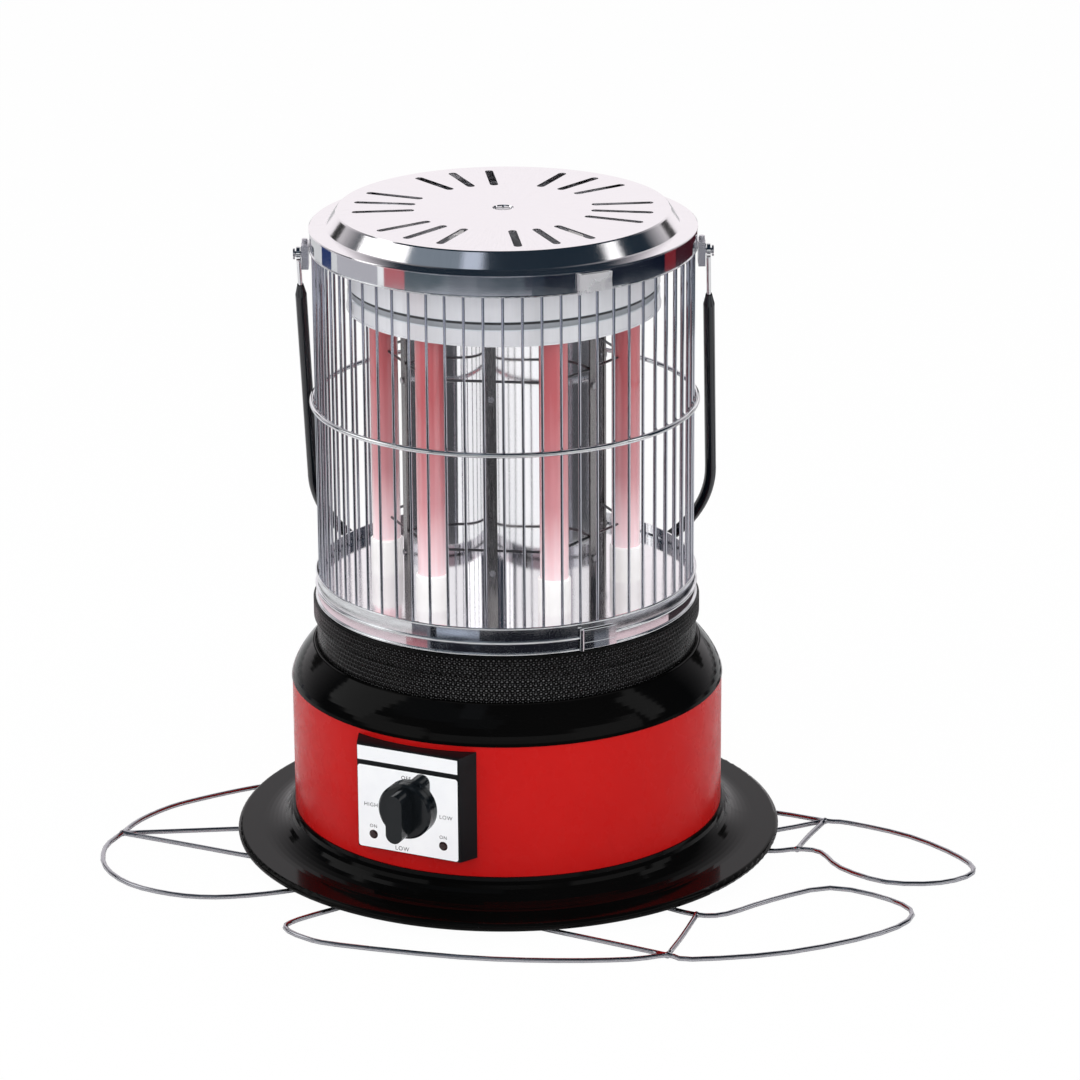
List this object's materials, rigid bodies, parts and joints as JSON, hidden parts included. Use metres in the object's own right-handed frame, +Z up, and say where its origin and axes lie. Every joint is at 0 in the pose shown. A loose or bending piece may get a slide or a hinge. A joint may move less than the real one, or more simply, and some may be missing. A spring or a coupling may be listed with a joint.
{
  "type": "radiant room heater",
  "caption": "Round quartz heater: brimmed black base, red drum, wire cage over lamp tubes and a parabolic reflector, swing handle, rotary knob and wire outriggers on the floor.",
  "frame": {"origin": "on the heater's axis at floor level, the centre of the circle of foot recesses", "axes": "+X to the right for someone who faces the heater, +Y to the back, +Z up; the front and its panel face -Y"},
  "size_m": [0.6062, 0.4192, 0.4533],
  "materials": {
    "black_enamel": "gloss black enamel",
    "black_mesh": "satin black enamel",
    "zinc": "zinc plated",
    "rubber": "matt",
    "screw_steel": "bright zinc",
    "chrome": "bright chrome",
    "red_enamel": "gloss red enamel",
    "polished": "polished",
    "aluminised": "satin aluminised",
    "ear_steel": "nickel plated",
    "black_plastic": "black",
    "quartz": "frosted quartz",
    "element": "warm tinted coil",
    "ceramic": "white ceramic",
    "mirror": "mirror polished",
    "strip_steel": "dark satin steel",
    "panel_silver": "satin silver white",
    "phenolic": "matt",
    "lamp_red": "dark red lens"
  },
  "bodies": {
    "heater": {"base_skirt": "black_enamel", "bottom_plate": "zinc", "rubber_feet": "rubber", "foot_screws": "screw_steel", "outrigger_left": "chrome", "outrigger_front": "chrome", "outrigger_right": "chrome", "outrigger_clips": "zinc", "base_drum": "red_enamel", "shoulder_cover": "black_enamel", "neck_grille": "black_mesh", "lower_rim": "chrome", "lower_rim_strap": "chrome", "reflector_tray": "polished", "cage_wires": "chrome", "cage_hoop": "chrome", "top_band": "chrome", "top_band_clip": "chrome", "top_cover": "polished", "centre_screw": "screw_steel", "tie_rod": "zinc", "upper_drum": "aluminised", "lamp_plate": "aluminised", "handle_ear_left": "ear_steel", "handle_ear_right": "ear_steel", "ear_rivets": "screw_steel", "quartz_tube_1": "quartz", "quartz_tube_2": "quartz", "quartz_tube_3": "quartz", "quartz_tube_4": "quartz", "quartz_tube_5": "quartz", "quartz_tube_6": "quartz", "heating_elements": "element", "lower_caps": "ceramic", "upper_caps": "ceramic", "tube_ties": "screw_steel", "reflector_1": "mirror", "reflector_2": "mirror", "reflector_3": "mirror", "reflector_4": "mirror", "reflector_5": "mirror", "reflector_6": "mirror", "cusp_strips": "strip_steel", "strip_screws": "screw_steel", "control_housing": "black_plastic", "control_panel": "panel_silver", "bare_strip": "panel_silver", "rotary_switch": "phenolic", "indicator_lamps": "lamp_red", "tip_over_switch": "phenolic", "terminal_block": "phenolic", "cord_gland": "black_plastic"},
    "handle": {"handle_wire": "chrome", "handle_sleeve": "black_plastic"},
    "knob": {"knob": "black_plastic", "knob_shaft": "screw_steel"}
  },
  "joints": [
    {"name": "handle_swing", "type": "hinge", "parent": "heater", "child": "handle", "pos_m": [0, 0, 0.422], "axis": [1, 0, 0], "range_deg": [0, 306]},
    {"name": "knob_turn", "type": "hinge", "parent": "heater", "child": "knob", "pos_m": [-0.06677, -0.14254, 0.07605], "axis": [-0.4242, -0.9056, 0], "range_deg": [-270, 0]}
  ]
}
